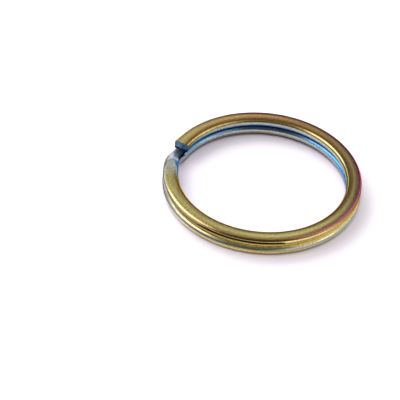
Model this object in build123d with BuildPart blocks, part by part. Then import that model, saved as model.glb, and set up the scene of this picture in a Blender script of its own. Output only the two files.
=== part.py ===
"""Split key ring: one length of flattened spring wire wound into two flat coils that lie
face to face. A short bend steps down from the end of the upper coil to the start of the lower.

Millimetres. +Z is the ring's axis, and the ring lies on its lower coil at Z = 0. The origin is
the centre of that resting face. The bend is centred on the -X side. Seen from above, the wire
runs clockwise as it goes down: from the upper coil's free end, through the bend, to the lower
coil's free end.

The wire is one piece of metal. It is divided along its length into stretches, so that a chain
of small hinges can show how the coils spring apart when a key is threaded on.
"""

from build123d import *
import math
import os

os.makedirs("parts", exist_ok=True)

# The wire and the ring
outer_diameter = 30.0
ring_height = 3.0
wire_width = 2.25
corner_radius = 0.6
coil_gap = 0.06

# The step between the coils, centred on the -X side
bend_arc = 20.0
bend_sections = 9
bend_centre = 180.0

# How each coil is divided, counted from its free end
stretches_per_coil = 10
sprung_stretches = 6
hinge_gap = 0.06

# Worked out from the above
wire_height = (ring_height - coil_gap) / 2
wire_radius = (outer_diameter - wire_width) / 2
coil_pitch = wire_height + coil_gap
upper_level = ring_height - wire_height / 2
lower_level = wire_height / 2
coil_end = bend_centre - bend_arc / 2
stretch_arc = 2 * coil_end / stretches_per_coil
half_gap_arc = math.degrees(hinge_gap / 2 / wire_radius)


def wire_plane(angle, level, slope=0.0):
    """Plane square to the wire at an angle round the ring, with X pointing outwards.

    slope is how far the wire rises for each millimetre that it runs anticlockwise.
    """
    turn = math.radians(angle)
    outwards = Vector(math.cos(turn), math.sin(turn), 0)
    along = Vector(-math.sin(turn), math.cos(turn), slope)
    middle = outwards * wire_radius + Vector(0, 0, level)
    return Plane(origin=middle, x_dir=outwards, z_dir=along)


def save(piece, name):
    piece.part.label = name
    export_step(piece.part, f"parts/{name}.step")


def coil_stretch(name, level, start_angle, end_angle):
    """A stretch of one coil, revolved anticlockwise from its first angle to its last."""
    with BuildPart() as stretch:
        with BuildSketch(wire_plane(start_angle, level)):
            RectangleRounded(wire_width, wire_height, corner_radius)
        revolve(axis=Axis.Z, revolution_arc=end_angle - start_angle)
    save(stretch, name)


def free_end_trim(number):
    """What a stretch gives up at the side of its coil's free end, to clear the hinge there."""
    return half_gap_arc if 1 < number <= sprung_stretches + 1 else 0.0


def bend_side_trim(number):
    """What a stretch gives up at the side of the bend, to clear the hinge there."""
    return half_gap_arc if number <= sprung_stretches else 0.0


def upper_coil():
    """Stretches 01 to 10, clockwise from the upper free end to the top of the bend."""
    for number in range(1, stretches_per_coil + 1):
        start_angle = coil_end - number * stretch_arc + bend_side_trim(number)
        end_angle = coil_end - (number - 1) * stretch_arc - free_end_trim(number)
        coil_stretch(f"upper_coil_{number:02d}", upper_level, start_angle, end_angle)


def lower_coil():
    """Stretches 01 to 10, anticlockwise from the lower free end to the foot of the bend."""
    for number in range(1, stretches_per_coil + 1):
        start_angle = -coil_end + (number - 1) * stretch_arc + free_end_trim(number)
        end_angle = -coil_end + number * stretch_arc - bend_side_trim(number)
        coil_stretch(f"lower_coil_{number:02d}", lower_level, start_angle, end_angle)


def crossover_bend():
    """The step from one coil to the other: a smooth S from the lower level to the upper."""
    run = wire_radius * math.radians(bend_arc)
    with BuildPart() as bend:
        for section in range(bend_sections):
            share = section / (bend_sections - 1)
            rise = coil_pitch * share**2 * (3 - 2 * share)
            slope = coil_pitch * 6 * share * (1 - share) / run
            angle = coil_end + share * bend_arc
            with BuildSketch(wire_plane(angle, lower_level + rise, slope)):
                RectangleRounded(wire_width, wire_height, corner_radius)
        loft()
    save(bend, "crossover_bend")


upper_coil()
lower_coil()
crossover_bend()
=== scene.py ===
import math

import bmesh
import bpy
from mathutils import Matrix, Vector


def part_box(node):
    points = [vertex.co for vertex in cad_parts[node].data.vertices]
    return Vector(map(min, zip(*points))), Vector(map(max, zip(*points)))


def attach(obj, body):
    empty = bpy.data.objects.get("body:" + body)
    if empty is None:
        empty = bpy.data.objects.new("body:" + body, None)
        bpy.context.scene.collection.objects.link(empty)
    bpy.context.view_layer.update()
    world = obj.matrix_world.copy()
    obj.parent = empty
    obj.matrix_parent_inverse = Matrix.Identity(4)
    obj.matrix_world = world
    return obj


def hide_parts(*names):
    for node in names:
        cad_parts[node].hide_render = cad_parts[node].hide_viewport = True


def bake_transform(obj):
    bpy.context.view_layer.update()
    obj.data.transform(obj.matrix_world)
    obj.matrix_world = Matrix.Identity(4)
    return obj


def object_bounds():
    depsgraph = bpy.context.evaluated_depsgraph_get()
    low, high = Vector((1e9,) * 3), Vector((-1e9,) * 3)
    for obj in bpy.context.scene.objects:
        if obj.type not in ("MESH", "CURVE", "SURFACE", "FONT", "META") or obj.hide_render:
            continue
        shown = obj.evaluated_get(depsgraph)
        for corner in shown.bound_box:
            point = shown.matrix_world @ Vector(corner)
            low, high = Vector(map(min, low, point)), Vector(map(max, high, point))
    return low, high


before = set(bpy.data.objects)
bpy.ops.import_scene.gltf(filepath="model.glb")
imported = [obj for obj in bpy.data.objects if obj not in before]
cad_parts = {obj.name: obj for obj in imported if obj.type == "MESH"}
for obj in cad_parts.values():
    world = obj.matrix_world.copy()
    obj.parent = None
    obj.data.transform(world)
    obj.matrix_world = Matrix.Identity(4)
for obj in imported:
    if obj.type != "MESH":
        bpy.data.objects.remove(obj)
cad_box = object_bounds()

# ---------------------------------------------------------------- sizes, in metres, from the frame
ring_low, ring_high = cad_box
ring_radius = ring_high.x
ring_height = ring_high.z - ring_low.z
top_low, top_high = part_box("upper_coil_08")
foot_low, foot_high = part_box("lower_coil_08")
wire_height = foot_high.z - foot_low.z
upper_level = (top_low.z + top_high.z) / 2
lower_level = (foot_low.z + foot_high.z) / 2
coil_drop = upper_level - lower_level
wire_width = 0.00225
wire_radius = ring_radius - wire_width / 2
corner_radius = 0.0006
corner_steps = 10
flat_cuts = 5
crown = 0.000018
squareness = 0.24
pressed_length = 0.0015
softened_edge = 0.00005

# The wire's course, in degrees round the ring
end_angle = 170.0
stretch_arc = 34.0
bend_arc = 20.0
stretches = 10
sprung_stretches = 6
step_arc = 0.5
turn = 360.0
on_edge = (math.radians(90), 0, 0)

ROOT = "crossover_and_fixed_coils"


# ---------------------------------------------------------------- modelling the wire
def deselect_all():
    if bpy.context.object and bpy.context.object.mode != "OBJECT":
        bpy.ops.object.mode_set(mode="OBJECT")
    bpy.ops.object.select_all(action="DESELECT")


def wire_section(name, level):
    """The flattened section of the wire, standing across the +X axis at one coil's level."""
    deselect_all()
    bpy.ops.mesh.primitive_plane_add(size=1, location=(wire_radius, 0, level), rotation=on_edge)
    section = bpy.context.object
    section.name = name
    section.scale = (wire_width, wire_height, 1)
    bpy.ops.object.transform_apply(location=True, rotation=True, scale=True)
    bpy.ops.object.mode_set(mode="EDIT")
    bpy.ops.mesh.select_all(action="SELECT")
    bpy.ops.mesh.bevel(offset=corner_radius, segments=corner_steps, affect="VERTICES")
    bpy.ops.mesh.select_all(action="DESELECT")
    mesh = bmesh.from_edit_mesh(section.data)
    bpy.ops.mesh.select_mode(type="EDGE")
    for edge in mesh.edges:
        edge.select = edge.calc_length() > corner_radius
    bmesh.update_edit_mesh(section.data)
    bpy.ops.mesh.subdivide(number_cuts=flat_cuts)
    bpy.ops.mesh.select_mode(type="VERT")
    swell(section, level)
    bpy.ops.mesh.select_all(action="SELECT")
    return section


def swell(section, level):
    """Crowns the flats: rolled wire is a little fuller in the middle of each side."""
    mesh = bmesh.from_edit_mesh(section.data)
    for point in mesh.verts:
        across = (point.co.x - wire_radius) / (wire_width / 2)
        up = (point.co.z - level) / (wire_height / 2)
        point.co.z += crown * up * (1 - across**2)
        point.co.x += crown * across * (1 - up**2)
    bmesh.update_edit_mesh(section.data)


def close_up(piece):
    bpy.ops.mesh.select_all(action="SELECT")
    bpy.ops.mesh.remove_doubles(threshold=1e-8)
    bpy.ops.mesh.normals_make_consistent(inside=False)
    bpy.ops.object.mode_set(mode="OBJECT")
    bpy.ops.object.shade_smooth_by_angle(angle=math.radians(40))


def coil_piece(name, level, start_angle, stop_angle):
    """A stretch of one coil, spun anticlockwise from its first angle to its last."""
    piece = wire_section(name, level)
    arc = stop_angle - start_angle
    steps = round(arc / step_arc)
    bpy.ops.mesh.spin(steps=steps, angle=-math.radians(arc), center=(0, 0, 0), axis=(0, 0, 1))
    close_up(piece)
    piece.rotation_euler.z = math.radians(start_angle)
    bpy.ops.object.transform_apply(location=False, rotation=True, scale=False)
    return piece


def step_rise(share):
    return coil_drop * share**2 * (3 - 2 * share)


def step_pitch(share):
    """The wire's tilt where it climbs from the lower coil to the upper."""
    run = wire_radius * math.radians(bend_arc)
    return math.atan(coil_drop * 6 * share * (1 - share) / run)


def bend_piece(name):
    """The step between the coils, extruded from the lower coil up to the upper one.

    The newest section stays on the +X axis, and the wire made so far is turned back behind it.
    """
    piece = wire_section(name, lower_level)
    steps = round(bend_arc / step_arc)
    for step in range(1, steps + 1):
        share, before = step / steps, (step - 1) / steps
        bpy.ops.mesh.extrude_region_move()
        bpy.ops.mesh.select_all(action="INVERT")
        bpy.ops.transform.rotate(value=math.radians(step_arc), orient_axis="Z", center_override=(0, 0, 0))
        bpy.ops.mesh.select_all(action="INVERT")
        bpy.ops.transform.translate(value=(0, 0, step_rise(share) - step_rise(before)))
        middle = (wire_radius, 0, lower_level + step_rise(share))
        tilt = step_pitch(share) - step_pitch(before)
        bpy.ops.transform.rotate(value=-tilt, orient_axis="X", center_override=middle)
    close_up(piece)
    piece.rotation_euler.z = math.radians(end_angle + bend_arc)
    bpy.ops.object.transform_apply(location=False, rotation=True, scale=False)
    return piece


# ---------------------------------------------------------------- the film's map along and round the wire
def level_at(piece_name, angle):
    """The height of the wire's middle at an angle round the ring."""
    if piece_name.startswith("upper"):
        return upper_level
    if piece_name.startswith("lower"):
        return lower_level
    return lower_level + step_rise(min(max((angle - end_angle) / bend_arc, 0), 1))


def turns_at(piece_name, angle):
    """How far along the wire a point is, in turns from the upper free end."""
    if piece_name.startswith("upper"):
        return (end_angle - angle) / turn
    if piece_name.startswith("lower"):
        return 1 + (end_angle - angle) / turn
    return 1 - (angle - end_angle) / turn


def lay_film_map(piece):
    """A UV map named film: turns along the wire, and the share of the way round its section.

    Round the section, 0 is the middle of the top, 0.25 the outside, 0.5 the underside, 0.75 the inside.
    """
    mesh = piece.data
    film = mesh.uv_layers.new(name="film")
    for face in mesh.polygons:
        places = []
        for corner in face.loop_indices:
            point = mesh.vertices[mesh.loops[corner].vertex_index].co
            angle = math.degrees(math.atan2(point.y, point.x))
            if piece.name.startswith("bend") and angle < 0:
                angle += turn
            across = (math.hypot(point.x, point.y) - wire_radius) / (wire_width / 2)
            up = (point.z - level_at(piece.name, angle)) / (wire_height / 2)
            round_share = (0.25 - math.atan2(up, across) / math.tau) % 1
            places.append((corner, turns_at(piece.name, angle), round_share))
        wraps = max(p[2] for p in places) - min(p[2] for p in places) > 0.5
        for corner, along, round_share in places:
            if wraps and round_share < 0.5:
                round_share += 1
            film.data[corner].uv = (along, round_share)


# ---------------------------------------------------------------- finishes
def tone(red, green, blue):
    """A colour given as it looks, in 0 to 255, turned into scene light."""
    light = []
    for share in (red / 255, green / 255, blue / 255):
        light.append(share / 12.92 if share <= 0.04045 else ((share + 0.055) / 1.055) ** 2.4)
    return (*light, 1)


class Bench:
    """Adds nodes to one material, each with its inputs set or linked."""

    def __init__(self, name):
        self.material = bpy.data.materials.new(name)
        self.material.use_nodes = True
        self.tree = self.material.node_tree
        self.shader = self.tree.nodes["Principled BSDF"]

    def put(self, value, socket):
        if isinstance(value, bpy.types.NodeSocket):
            self.tree.links.new(value, socket)
        else:
            socket.default_value = value

    def math(self, operation, *values):
        node = self.tree.nodes.new("ShaderNodeMath")
        node.operation = operation
        for value, socket in zip(values, node.inputs):
            self.put(value, socket)
        return node.outputs[0]

    def times(self, first, second):
        return self.math("MULTIPLY", first, second)

    def span(self, value, low, high, to_low=0.0, to_high=1.0):
        """A smooth change from one value to another between two limits."""
        node = self.tree.nodes.new("ShaderNodeMapRange")
        node.interpolation_type = "SMOOTHSTEP"
        for number, item in enumerate((value, low, high, to_low, to_high)):
            self.put(item, node.inputs[number])
        return node.outputs[0]

    def band(self, value, rise, fall):
        """Full between a rise and a fall, which are each given by where they start and stop."""
        return self.times(self.span(value, *rise), self.span(value, *fall, 1.0, 0.0))

    def mix(self, share, first, second, kind="MIX"):
        node = self.tree.nodes.new("ShaderNodeMix")
        node.data_type = "RGBA"
        node.blend_type = kind
        self.put(share, node.inputs[0])
        self.put(first, node.inputs[6])
        self.put(second, node.inputs[7])
        return node.outputs[2]

    def noise(self, place, scale, detail=2.0, roughness=0.5):
        node = self.tree.nodes.new("ShaderNodeTexNoise")
        self.put(place, node.inputs["Vector"])
        node.inputs["Scale"].default_value = scale
        node.inputs["Detail"].default_value = detail
        node.inputs["Roughness"].default_value = roughness
        return node.outputs["Fac"]

    def parts(self, vector):
        node = self.tree.nodes.new("ShaderNodeSeparateXYZ")
        self.put(vector, node.inputs[0])
        return node.outputs

    def ramp(self, value, stops):
        node = self.tree.nodes.new("ShaderNodeValToRGB")
        self.put(value, node.inputs[0])
        points = node.color_ramp.elements
        while len(points) < len(stops):
            points.new(0.5)
        for point, (place, colour) in zip(points, stops):
            point.position = place
            point.color = tone(*colour)
        return node.outputs[0]

    def place(self, x, y):
        node = self.tree.nodes.new("ShaderNodeCombineXYZ")
        self.put(x, node.inputs[0])
        self.put(y, node.inputs[1])
        return node.outputs[0]

    def grey(self, value):
        node = self.tree.nodes.new("ShaderNodeCombineColor")
        for socket in node.inputs[:3]:
            self.put(value, socket)
        return node.outputs[0]

    def bump(self, height, strength, distance):
        node = self.tree.nodes.new("ShaderNodeBump")
        node.inputs["Strength"].default_value = strength
        node.inputs["Distance"].default_value = distance
        self.put(height, node.inputs["Height"])
        return node.outputs["Normal"]


# Film colours round the section, at four places round the ring, with painted light in them: painted
# highlights as bright lines on the rolled corners, painted reflections of the floor and studio on the
# sides, and painted shade as dark lines beside the highlights and in the groove between the coils.
# Faces that the coils turn to each other are painted pale against the shade there. Each list runs from
# the middle of the top (0) over the outside (0.25), the underside (0.5) and the inside (0.75) back to the
# top (1).
UPPER_FILM_AND_PAINTED_LIGHT = {
    "front": [
        (0.0, (174, 163, 104)), (0.04, (176, 168, 120)), (0.07, (160, 148, 96)), (0.1, (136, 113, 60)),
        (0.126, (158, 120, 64)), (0.146, (142, 92, 52)), (0.166, (130, 86, 50)), (0.186, (252, 236, 160)),
        (0.208, (236, 216, 132)), (0.24, (138, 116, 62)), (0.27, (134, 116, 66)), (0.31, (222, 206, 128)),
        (0.355, (240, 226, 150)), (0.385, (234, 218, 142)), (0.41, (214, 198, 130)), (0.44, (206, 216, 226)),
        (0.56, (206, 216, 226)), (0.6, (80, 130, 176)), (0.65, (38, 72, 116)), (0.69, (120, 136, 152)),
        (0.74, (172, 176, 166)), (0.785, (170, 168, 140)), (0.82, (150, 138, 88)), (0.842, (96, 84, 42)),
        (0.866, (252, 234, 144)), (0.893, (96, 70, 40)), (0.925, (114, 92, 48)), (0.96, (148, 130, 68)),
    ],
    "right": [
        (0.0, (140, 126, 88)), (0.035, (122, 108, 76)), (0.06, (104, 84, 62)), (0.09, (108, 70, 66)),
        (0.106, (106, 66, 62)), (0.124, (154, 90, 122)), (0.142, (204, 130, 164)), (0.156, (150, 96, 84)),
        (0.182, (148, 106, 68)), (0.21, (172, 136, 78)), (0.245, (240, 212, 134)), (0.29, (255, 240, 168)),
        (0.33, (255, 246, 186)), (0.365, (200, 198, 164)), (0.398, (180, 180, 160)), (0.43, (206, 216, 226)),
        (0.56, (206, 216, 226)), (0.6, (80, 156, 206)), (0.65, (36, 90, 146)), (0.69, (200, 202, 212)),
        (0.74, (222, 220, 210)), (0.785, (206, 202, 172)), (0.815, (136, 128, 84)), (0.838, (90, 78, 42)),
        (0.868, (222, 202, 138)), (0.895, (92, 70, 44)), (0.925, (98, 80, 54)), (0.96, (114, 96, 64)),
    ],
    "back": [
        (0.0, (166, 139, 86)), (0.03, (144, 114, 76)), (0.056, (106, 72, 66)), (0.085, (92, 54, 72)),
        (0.112, (88, 46, 72)), (0.14, (92, 48, 74)), (0.165, (120, 70, 90)), (0.185, (140, 90, 90)),
        (0.21, (160, 120, 80)), (0.245, (184, 154, 94)), (0.29, (190, 168, 108)), (0.33, (188, 170, 114)),
        (0.365, (170, 166, 140)), (0.395, (160, 160, 150)), (0.43, (206, 216, 226)), (0.56, (206, 216, 226)),
        (0.6, (76, 116, 156)), (0.65, (36, 58, 92)), (0.69, (52, 66, 98)), (0.73, (132, 146, 158)),
        (0.78, (168, 174, 166)), (0.815, (150, 146, 120)), (0.84, (100, 92, 54)), (0.862, (228, 208, 126)),
        (0.888, (98, 62, 42)), (0.92, (122, 86, 58)), (0.955, (150, 120, 74)),
    ],
    "left": [
        (0.0, (160, 154, 112)), (0.04, (172, 164, 108)), (0.07, (172, 158, 92)), (0.1, (180, 162, 90)),
        (0.122, (206, 196, 140)), (0.142, (236, 232, 210)), (0.162, (144, 130, 84)), (0.19, (112, 98, 60)),
        (0.212, (98, 86, 56)), (0.245, (112, 106, 80)), (0.29, (126, 122, 100)), (0.33, (176, 168, 132)),
        (0.365, (180, 184, 180)), (0.398, (170, 176, 180)), (0.43, (206, 216, 226)), (0.56, (206, 216, 226)),
        (0.6, (72, 136, 190)), (0.65, (40, 84, 132)), (0.69, (112, 126, 146)), (0.74, (164, 170, 166)),
        (0.78, (172, 170, 148)), (0.815, (156, 148, 96)), (0.838, (112, 100, 50)), (0.86, (254, 240, 150)),
        (0.887, (112, 76, 44)), (0.92, (134, 106, 58)), (0.96, (156, 140, 84)),
    ],
}
# The lower coil's film, with painted highlights, reflections and shade as above; its top is painted pale where
# the upper coil shades it.
LOWER_FILM_AND_PAINTED_LIGHT = {
    "front": [
        (0.0, (214, 224, 234)), (0.07, (210, 214, 200)), (0.095, (214, 198, 124)), (0.13, (206, 190, 112)),
        (0.152, (190, 180, 124)), (0.172, (158, 168, 186)), (0.192, (164, 174, 186)), (0.212, (166, 166, 142)),
        (0.235, (176, 166, 110)), (0.275, (226, 210, 126)), (0.315, (224, 202, 118)), (0.36, (190, 164, 98)),
        (0.41, (150, 84, 110)), (0.5, (190, 110, 120)), (0.59, (150, 80, 140)), (0.65, (110, 84, 112)),
        (0.7, (150, 146, 118)), (0.75, (174, 178, 156)), (0.8, (170, 182, 186)), (0.85, (110, 166, 200)),
        (0.885, (70, 136, 184)), (0.925, (110, 146, 176)),
    ],
    "right": [
        (0.0, (214, 224, 234)), (0.07, (210, 214, 200)), (0.095, (204, 192, 134)), (0.13, (196, 182, 122)),
        (0.156, (210, 200, 146)), (0.18, (212, 204, 158)), (0.205, (200, 200, 178)), (0.23, (216, 222, 220)),
        (0.26, (226, 234, 240)), (0.3, (216, 220, 216)), (0.33, (200, 200, 178)), (0.37, (110, 84, 90)),
        (0.41, (140, 70, 130)), (0.5, (150, 72, 150)), (0.59, (130, 60, 140)), (0.65, (120, 96, 130)),
        (0.7, (162, 172, 186)), (0.76, (184, 200, 210)), (0.8, (166, 186, 202)), (0.83, (84, 142, 190)),
        (0.858, (92, 164, 218)), (0.885, (40, 130, 200)), (0.925, (100, 146, 184)),
    ],
    "back": [
        (0.0, (214, 224, 234)), (0.08, (200, 212, 224)), (0.11, (150, 166, 190)), (0.138, (120, 130, 150)),
        (0.16, (150, 140, 120)), (0.19, (180, 156, 104)), (0.23, (176, 156, 98)), (0.27, (170, 150, 92)),
        (0.32, (130, 106, 66)), (0.365, (100, 70, 96)), (0.41, (156, 86, 150)), (0.5, (194, 106, 182)),
        (0.59, (170, 90, 168)), (0.64, (118, 92, 124)), (0.68, (122, 108, 108)), (0.715, (142, 136, 100)),
        (0.755, (174, 172, 138)), (0.8, (184, 185, 174)), (0.83, (128, 148, 158)), (0.86, (92, 120, 146)),
        (0.892, (84, 124, 164)), (0.93, (110, 144, 174)),
    ],
    "left": [
        (0.0, (216, 226, 234)), (0.08, (206, 216, 226)), (0.108, (160, 160, 136)), (0.132, (134, 128, 104)),
        (0.152, (176, 178, 160)), (0.178, (108, 124, 142)), (0.205, (102, 112, 120)), (0.23, (176, 180, 168)),
        (0.26, (236, 238, 230)), (0.3, (250, 250, 246)), (0.33, (240, 240, 236)), (0.365, (150, 120, 150)),
        (0.41, (196, 120, 180)), (0.5, (218, 146, 208)), (0.59, (184, 104, 182)), (0.64, (160, 150, 165)),
        (0.68, (160, 160, 162)), (0.72, (150, 156, 154)), (0.77, (182, 190, 190)), (0.81, (160, 186, 202)),
        (0.85, (130, 184, 218)), (0.888, (44, 112, 176)), (0.93, (100, 146, 184)),
    ],
}

# The painted dark line along each coil's outer corner on the near left, painted shade and a painted
# dark reflection: where its middle lies round the section, half the width of its even part and of the
# whole, and how dark it is.
UPPER_PAINTED_SHADE_LINE = (0.218, 0.022, 0.056, 0.62)
LOWER_PAINTED_SHADE_LINE = (0.190, 0.012, 0.036, 0.72)
line_heading, line_even, line_whole = -109, 14, 36

# Painted light on the bend, as tints: where each rises and falls along the wire, and round it, its strength
# and its colour.
BEND_PAINTED_LIGHT = [
    # the outer corner is painted warmer, a painted reflection
    (((0.925, 0.945), (0.975, 1.0)), ((0.06, 0.13), (0.27, 0.34)), 0.9, (168, 154, 112)),
    # the inside is painted paler: painted light where the upper coil's end shades it
    (((0.945, 0.960), (0.985, 1.01)), ((0.68, 0.78), (0.95, 0.99)), 0.85, (206, 210, 216)),
]

# The upper coil's pale tip: its end in turns along the wire, and how far it draws back round the section
tip_end = end_angle * 2 / turn + 0.006
tip_rounding = 1.25
pale_start, pale_stop, pale_strength = tip_end - 0.045, tip_end - 0.004, 0.75

quarter_shift = 14.5
millimetres = 1000
corner_saving = 0.9
ring_girth = math.tau * wire_radius * millimetres
section_girth = 2 * (wire_width + wire_height) * millimetres * corner_saving
wander = 0.012
drawn_out = 0.12


class FilmPlace:
    """Where each point of the wire lies: along it, round its section and round the ring."""

    def __init__(self, bench):
        film = bench.tree.nodes.new("ShaderNodeUVMap")
        film.uv_map = "film"
        self.along, round_share = bench.parts(film.outputs[0])[:2]
        # distances in millimetres, along and round the wire
        self.run = bench.times(self.along, ring_girth)
        self.girth = bench.times(round_share, section_girth)

        # the film wanders a little in thickness
        drawn = bench.place(bench.times(self.run, drawn_out), bench.times(self.girth, 0.5))
        drift = bench.math("SUBTRACT", bench.noise(drawn, 1.0, 3.0), 0.5)
        moved = bench.math("ADD", round_share, bench.times(drift, wander))
        self.around = bench.math("FRACT", bench.math("ADD", moved, 1.0))
        # 1 in the middle of the top and of the underside, 0 in the middle of the sides
        self.flatness = bench.math("ABSOLUTE", bench.math("COSINE", bench.times(self.around, math.tau)))

        start = math.radians(end_angle - quarter_shift)
        self.heading = bench.math("MULTIPLY_ADD", self.along, -math.tau, start)
        east = bench.math("COSINE", self.heading)
        north = bench.math("SINE", self.heading)
        self.is_right = bench.math("GREATER_THAN", east, 0.0)
        self.is_back = bench.math("GREATER_THAN", north, 0.0)
        self.front_or_back = bench.times(north, north)


def coil_coat(bench, place, films):
    """One coil's film with its painted highlights, reflections and shade, mixed from its colours at the left,
    the right, the front and the back.
    """
    side = {name: bench.ramp(place.around, stops + [(1.0, stops[0][1])]) for name, stops in films.items()}
    across = bench.mix(place.is_right, side["left"], side["right"])
    through = bench.mix(place.is_back, side["front"], side["back"])
    return bench.mix(place.front_or_back, across, through)


def near_left(bench, place):
    """How near a point is to the near left of the ring, where the painted dark lines of shade and reflection
    are.
    """
    closeness = bench.math("COSINE", bench.math("ADD", place.heading, math.radians(-line_heading)))
    return bench.span(closeness, math.cos(math.radians(line_whole)), math.cos(math.radians(line_even)))


def painted_shade_line(bench, place, nearness, coat, line):
    middle, even, whole, depth = line
    away = bench.math("ABSOLUTE", bench.math("SUBTRACT", place.around, middle))
    share = bench.times(nearness, bench.span(away, even, whole, depth, 0.0))
    # paints a dark line of shade and dark reflection along the corner
    return bench.mix(share, coat, tone(26, 26, 32))


def paint_bend_light(bench, place, coat):
    # lays the bend's painted light over the lower coil's film
    for along_band, round_band, strength, colour in BEND_PAINTED_LIGHT:
        share = bench.times(bench.band(place.along, *along_band), bench.band(place.around, *round_band))
        coat = bench.mix(bench.times(share, strength), coat, tone(*colour))
    return coat


def join_coats(bench, place, upper, lower):
    """Ends the upper coil's top in a pale rounded tip, where the wire bends down, edged by a painted shade
    line.
    """
    from_top = bench.math("PINGPONG", place.around, 0.5)
    reach = bench.math("MULTIPLY_ADD", bench.times(from_top, from_top), tip_rounding, place.along)
    pale = bench.span(reach, pale_start, pale_stop, 0.0, pale_strength)
    upper = bench.mix(pale, upper, tone(166, 180, 186))
    coat = bench.mix(bench.span(reach, tip_end - 0.002, tip_end + 0.002), upper, lower)
    # a dark line of painted shade along the edge of the tip
    started = bench.span(reach, tip_end - 0.003, tip_end)
    stopped = bench.span(reach, tip_end + 0.002, tip_end + 0.010)
    painted_edge_shade = bench.math("SUBTRACT", started, stopped)
    return bench.mix(bench.times(painted_edge_shade, 0.5), coat, tone(52, 66, 92))


def drawn_grain(bench, place):
    """The mottled grain of the flats, and the lines drawn along the wire."""
    grain = bench.noise(bench.place(place.run, place.girth), 3.2, 4.0, 0.75)
    drawn = bench.place(bench.times(place.run, drawn_out), bench.times(place.girth, 3.4))
    return grain, bench.noise(drawn, 1.6, 3.0)


def mottle_and_painted_sheen(bench, place, grain, lines):
    """How light the film is: mottled, with a painted sheen, a paler highlight stripe along the flats on two
    sides of the ring.
    """
    mottle = bench.span(grain, 0.38, 0.62, 0.76, 1.24)
    light = bench.math("ADD", mottle, bench.span(lines, 0.3, 0.7, -0.13, 0.13))
    # painted sheen: a highlight stripe on the flats, lightest on two sides of the ring
    sheen = bench.math("COSINE", bench.math("MULTIPLY_ADD", place.heading, 2.0, math.radians(-250)))
    stripe = bench.times(bench.span(sheen, -0.3, 1.0), bench.span(place.flatness, 0.90, 1.0))
    return bench.math("MULTIPLY_ADD", stripe, 0.34, light)


def plated_film_and_painted_light():
    """Iridescent plating: its film is thicker on some faces than others, so its colour follows the wire.
    Its colours also hold painted highlights, painted reflections and painted shade.
    """
    bench = Bench("plated_film_and_painted_light")
    place = FilmPlace(bench)
    nearness = near_left(bench, place)
    # each coil's colours hold painted highlights, reflections and shade, with painted dark lines on the near
    # left
    upper = painted_shade_line(bench, place, nearness, coil_coat(bench, place, UPPER_FILM_AND_PAINTED_LIGHT), UPPER_PAINTED_SHADE_LINE)
    lower = painted_shade_line(bench, place, nearness, coil_coat(bench, place, LOWER_FILM_AND_PAINTED_LIGHT), LOWER_PAINTED_SHADE_LINE)
    coat = join_coats(bench, place, upper, paint_bend_light(bench, place, lower))

    grain, lines = drawn_grain(bench, place)
    shaded = bench.mix(1.0, coat, bench.grey(mottle_and_painted_sheen(bench, place, grain, lines)), "MULTIPLY")
    bench.put(shaded, bench.shader.inputs["Base Color"])
    bench.put(shaded, bench.shader.inputs["Specular Tint"])
    bench.shader.inputs["Metallic"].default_value = 1.0

    # satin on the flat top and underside, brighter on the rolled corners and sides
    satin = bench.span(place.flatness, 0.78, 0.94, 0.07, 0.30)
    rough = bench.math("ADD", satin, bench.span(grain, 0.25, 0.75, -0.03, 0.05))
    bench.put(rough, bench.shader.inputs["Roughness"])
    relief = bench.math("ADD", bench.times(grain, 0.6), bench.times(lines, 0.4))
    bench.put(bench.bump(relief, 0.35, 0.00001), bench.shader.inputs["Normal"])
    return bench.material


def sheared_end():
    """The cut faces at the wire's ends: dark blue plating over shear marks, with painted shadow darkest at the
    foot.
    """
    bench = Bench("sheared_end")
    where = bench.tree.nodes.new("ShaderNodeTexCoord").outputs["Object"]
    patches = bench.noise(where, 1600.0, 3.0)
    marks = bench.noise(where, 6000.0, 4.0, 0.7)
    mottle = bench.math("ADD", bench.times(patches, 0.75), bench.times(marks, 0.25))
    colour = bench.ramp(mottle, [
        (0.30, (36, 56, 84)), (0.46, (62, 92, 124)), (0.56, (88, 116, 142)), (0.68, (140, 150, 158)),
    ])
    height = bench.math("MODULO", bench.parts(where)[2], coil_drop)
    # painted shadow: the cut face darkens towards its foot, where the gap beneath it shades it
    foot = bench.span(height, 0.00026, 0.00042)
    bench.put(bench.mix(foot, tone(16, 20, 40), colour), bench.shader.inputs["Base Color"])
    bench.shader.inputs["Metallic"].default_value = 1.0
    bench.put(bench.span(marks, 0.3, 0.7, 0.32, 0.5), bench.shader.inputs["Roughness"])
    bench.put(bench.bump(marks, 0.5, 0.00003), bench.shader.inputs["Normal"])
    return bench.material


# ---------------------------------------------------------------- the wire's pieces
plating = plated_film_and_painted_light()
cut_steel = sheared_end()


def finish_piece(piece, *nodes):
    lay_film_map(piece)
    piece.data.materials.append(plating)
    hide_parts(*nodes)
    return piece


def square_up(mesh, along, level):
    """Presses the wire's corners squarer towards the cut, as the shear does."""
    flat_across, flat_up = wire_width / 2 - corner_radius, wire_height / 2 - corner_radius
    for point in mesh.verts:
        nearness = max(0, 1 - abs(point.co.dot(along)) / pressed_length)
        radius = math.hypot(point.co.x, point.co.y)
        across, up = radius - wire_radius, point.co.z - level
        past_across, past_up = abs(across) - flat_across, abs(up) - flat_up
        if nearness and past_across > 0 and past_up > 0:
            cornering = 2 * past_across * past_up / (past_across**2 + past_up**2)
            push = 1 + squareness * nearness * cornering**4
            new_across = math.copysign(flat_across + min(past_across * push, corner_radius), across)
            point.co.x *= (wire_radius + new_across) / radius
            point.co.y *= (wire_radius + new_across) / radius
            point.co.z = level + math.copysign(flat_up + min(past_up * push, corner_radius), up)


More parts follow.
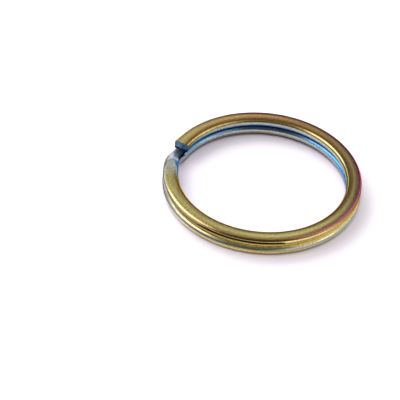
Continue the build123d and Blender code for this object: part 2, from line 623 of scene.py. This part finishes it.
def dress_free_end(piece, angle, level):
    """Squares the sheared end, softens its edges and gives the cut face its own finish."""
    outwards = Vector((math.cos(math.radians(angle)), math.sin(math.radians(angle)), 0))
    along = Vector((-outwards.y, outwards.x, 0))
    deselect_all()
    bpy.context.view_layer.objects.active = piece
    piece.select_set(True)
    bpy.ops.object.mode_set(mode="EDIT")
    bpy.ops.mesh.select_mode(type="FACE")
    bpy.ops.mesh.select_all(action="DESELECT")
    mesh = bmesh.from_edit_mesh(piece.data)
    square_up(mesh, along, level)
    for face in mesh.faces:
        beside = face.calc_center_median().dot(along)
        face.select = abs(face.normal.dot(along)) > 0.99 and abs(beside) < 1e-6
    bmesh.update_edit_mesh(piece.data)
    bpy.ops.mesh.inset(thickness=softened_edge)
    bpy.ops.object.mode_set(mode="OBJECT")
    for face in piece.data.polygons:
        if abs(face.normal.dot(along)) > 0.9 and abs(face.center.dot(along)) < 1e-6:
            face.material_index = 1
    piece.data.materials.append(cut_steel)


def body_name(side, number):
    return f"{side}_stretch_{number:02d}" if number <= sprung_stretches else ROOT


def make_coil(side):
    level = upper_level if side == "upper" else lower_level
    sign = 1 if side == "upper" else -1

    def stretch(name, near, far):
        """Between two distances from the free end, in degrees."""
        angles = sorted((sign * (end_angle - near), sign * (end_angle - far)))
        return coil_piece(name, level, *angles)

    tip = finish_piece(stretch(f"{side}_end", 0, stretch_arc / 2), f"{side}_coil_01")
    dress_free_end(tip, sign * end_angle, level)
    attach(tip, body_name(side, 1))
    for number in range(1, sprung_stretches + 1):
        near, far = (number - 0.5) * stretch_arc, (number + 0.5) * stretch_arc
        piece = stretch(f"{side}_wire_{number:02d}", near, far)
        finish_piece(piece, f"{side}_coil_{number + 1:02d}")
        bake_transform(piece)
    near = (sprung_stretches + 0.5) * stretch_arc
    fixed_nodes = [f"{side}_coil_{number:02d}" for number in range(sprung_stretches + 2, stretches + 1)]
    fixed = finish_piece(stretch(f"{side}_wire_fixed", near, 2 * end_angle), *fixed_nodes)
    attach(fixed, ROOT)


make_coil("upper")
make_coil("lower")
bend = finish_piece(bend_piece("bend"), "crossover_bend")
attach(bend, ROOT)


# ---------------------------------------------------------------- floor, light and camera
floor_width, floor_gap = 3, 0.00001


def make_floor():
    deselect_all()
    bpy.ops.mesh.primitive_plane_add(size=floor_width, location=(0, 0, -floor_gap))
    floor = bpy.context.object
    floor.name = "floor"
    bench = Bench("floor_paper")
    bench.shader.inputs["Base Color"].default_value = (0.90, 0.848, 0.915, 1)
    bench.shader.inputs["Roughness"].default_value = 0.9
    bench.shader.inputs["Specular IOR Level"].default_value = 0.1
    floor.data.materials.append(bench.material)


def soft_light(name, place, size, power):
    """A lamp for the shadows alone: what the metal mirrors is the studio round it."""
    lamp = bpy.data.lights.new(name, "AREA")
    lamp.shape = "RECTANGLE"
    lamp.size, lamp.size_y = size
    lamp.energy = power
    made = bpy.data.objects.new(name, lamp)
    bpy.context.scene.collection.objects.link(made)
    made.location = place
    made.rotation_mode = "QUATERNION"
    made.rotation_quaternion = Vector(place).to_track_quat("Z", "Y")
    made.visible_glossy = False


def compass(azimuth, elevation):
    """A direction in the studio, its azimuth counted from the right of the ring as it is looked at."""
    around, above = math.radians(azimuth + quarter_shift), math.radians(elevation)
    return (math.cos(around) * math.cos(above), math.sin(around) * math.cos(above), math.sin(above))


# Panels and dark corners of the studio: where they are, how wide the even part and the whole are, and
# how bright. The rest of it is evenly lit.
studio_level = 0.95
STUDIO = [
    ((178, 34), 14, 36, 2.6),
    ((-14, 8), 7, 18, 2.0),
    ((-92, 38), 22, 48, 0.20),
    ((-112, 0), 8, 26, 0.45),
]


def make_studio():
    world = bpy.data.worlds.new("studio")
    bpy.context.scene.world = world
    world.use_nodes = True
    tree = world.node_tree
    background = tree.nodes["Background"]
    looking = tree.nodes.new("ShaderNodeTexCoord").outputs["Generated"]
    brightness = studio_level
    for where, even, whole, level in STUDIO:
        facing = tree.nodes.new("ShaderNodeVectorMath")
        facing.operation = "DOT_PRODUCT"
        tree.links.new(looking, facing.inputs[0])
        facing.inputs[1].default_value = compass(*where)
        share = tree.nodes.new("ShaderNodeMapRange")
        share.interpolation_type = "SMOOTHSTEP"
        tree.links.new(facing.outputs["Value"], share.inputs[0])
        share.inputs[1].default_value = math.cos(math.radians(whole))
        share.inputs[2].default_value = math.cos(math.radians(even))
        blend = tree.nodes.new("ShaderNodeMix")
        tree.links.new(share.outputs[0], blend.inputs[0])
        if isinstance(brightness, float):
            blend.inputs[2].default_value = brightness
        else:
            tree.links.new(brightness, blend.inputs[2])
        blend.inputs[3].default_value = level
        brightness = blend.outputs[0]
    tree.links.new(brightness, background.inputs["Strength"])
    background.inputs["Color"].default_value = (1, 1, 1, 1)


flag_radius, flag_level = 0.0218, 0.0008
flag_width, flag_thickness = 0.0104, 0.0001
flag_start, flag_arc = -132, 60


def make_flag():
    """A dark curved card low in front of the ring, which only the metal sees, as a dark line."""
    deselect_all()
    bpy.ops.mesh.primitive_plane_add(size=1, location=(flag_radius, 0, flag_level), rotation=on_edge)
    flag = bpy.context.object
    flag.name = "flag"
    flag.scale = (flag_width, flag_thickness, 1)
    bpy.ops.object.transform_apply(location=True, rotation=True, scale=True)
    bpy.ops.object.mode_set(mode="EDIT")
    bpy.ops.mesh.select_all(action="SELECT")
    bpy.ops.mesh.spin(steps=24, angle=-math.radians(flag_arc), center=(0, 0, 0), axis=(0, 0, 1))
    close_up(flag)
    flag.rotation_euler.z = math.radians(quarter_shift + flag_start)
    bench = Bench("flag_card")
    bench.shader.inputs["Base Color"].default_value = (0.03, 0.022, 0.02, 1)
    bench.shader.inputs["Specular IOR Level"].default_value = 0.0
    flag.data.materials.append(bench.material)
    flag.visible_camera = False
    flag.visible_diffuse = False
    flag.visible_shadow = False


def make_light():
    make_studio()
    make_flag()
    soft_light("window", (-0.26, 0.20, 0.27), (0.30, 0.30), 1.15)
    soft_light("ceiling", (0.10, -0.10, 0.50), (0.60, 0.60), 0.45)


camera_azimuth = math.radians(quarter_shift)
camera_elevation = math.radians(40.75)
camera_roll = math.radians(5.05)
camera_distance = 0.6
field_width = 0.06037
ring_offset = (0.00936, 0.00272)


def make_camera():
    """Looks past the ring, which stands right of the middle, with a long lens."""
    back = Vector((
        math.sin(camera_azimuth) * math.cos(camera_elevation),
        -math.cos(camera_azimuth) * math.cos(camera_elevation),
        math.sin(camera_elevation),
    ))
    level_right = Vector((math.cos(camera_azimuth), math.sin(camera_azimuth), 0))
    level_up = back.cross(level_right)
    right = level_right * math.cos(camera_roll) + level_up * math.sin(camera_roll)
    up = back.cross(right)
    aim = Vector((0, 0, ring_height / 2)) - right * ring_offset[0] - up * ring_offset[1]
    lens = bpy.data.cameras.new("camera")
    lens.lens = lens.sensor_width * camera_distance / field_width
    lens.clip_start, lens.clip_end = 0.01, 10
    camera = bpy.data.objects.new("camera", lens)
    bpy.context.scene.collection.objects.link(camera)
    turned = Matrix((right, up, back)).transposed().to_4x4()
    camera.matrix_world = Matrix.Translation(aim + back * camera_distance) @ turned
    bpy.context.scene.camera = camera


make_floor()
make_light()
make_camera()
bpy.context.scene.view_settings.view_transform = "Standard"
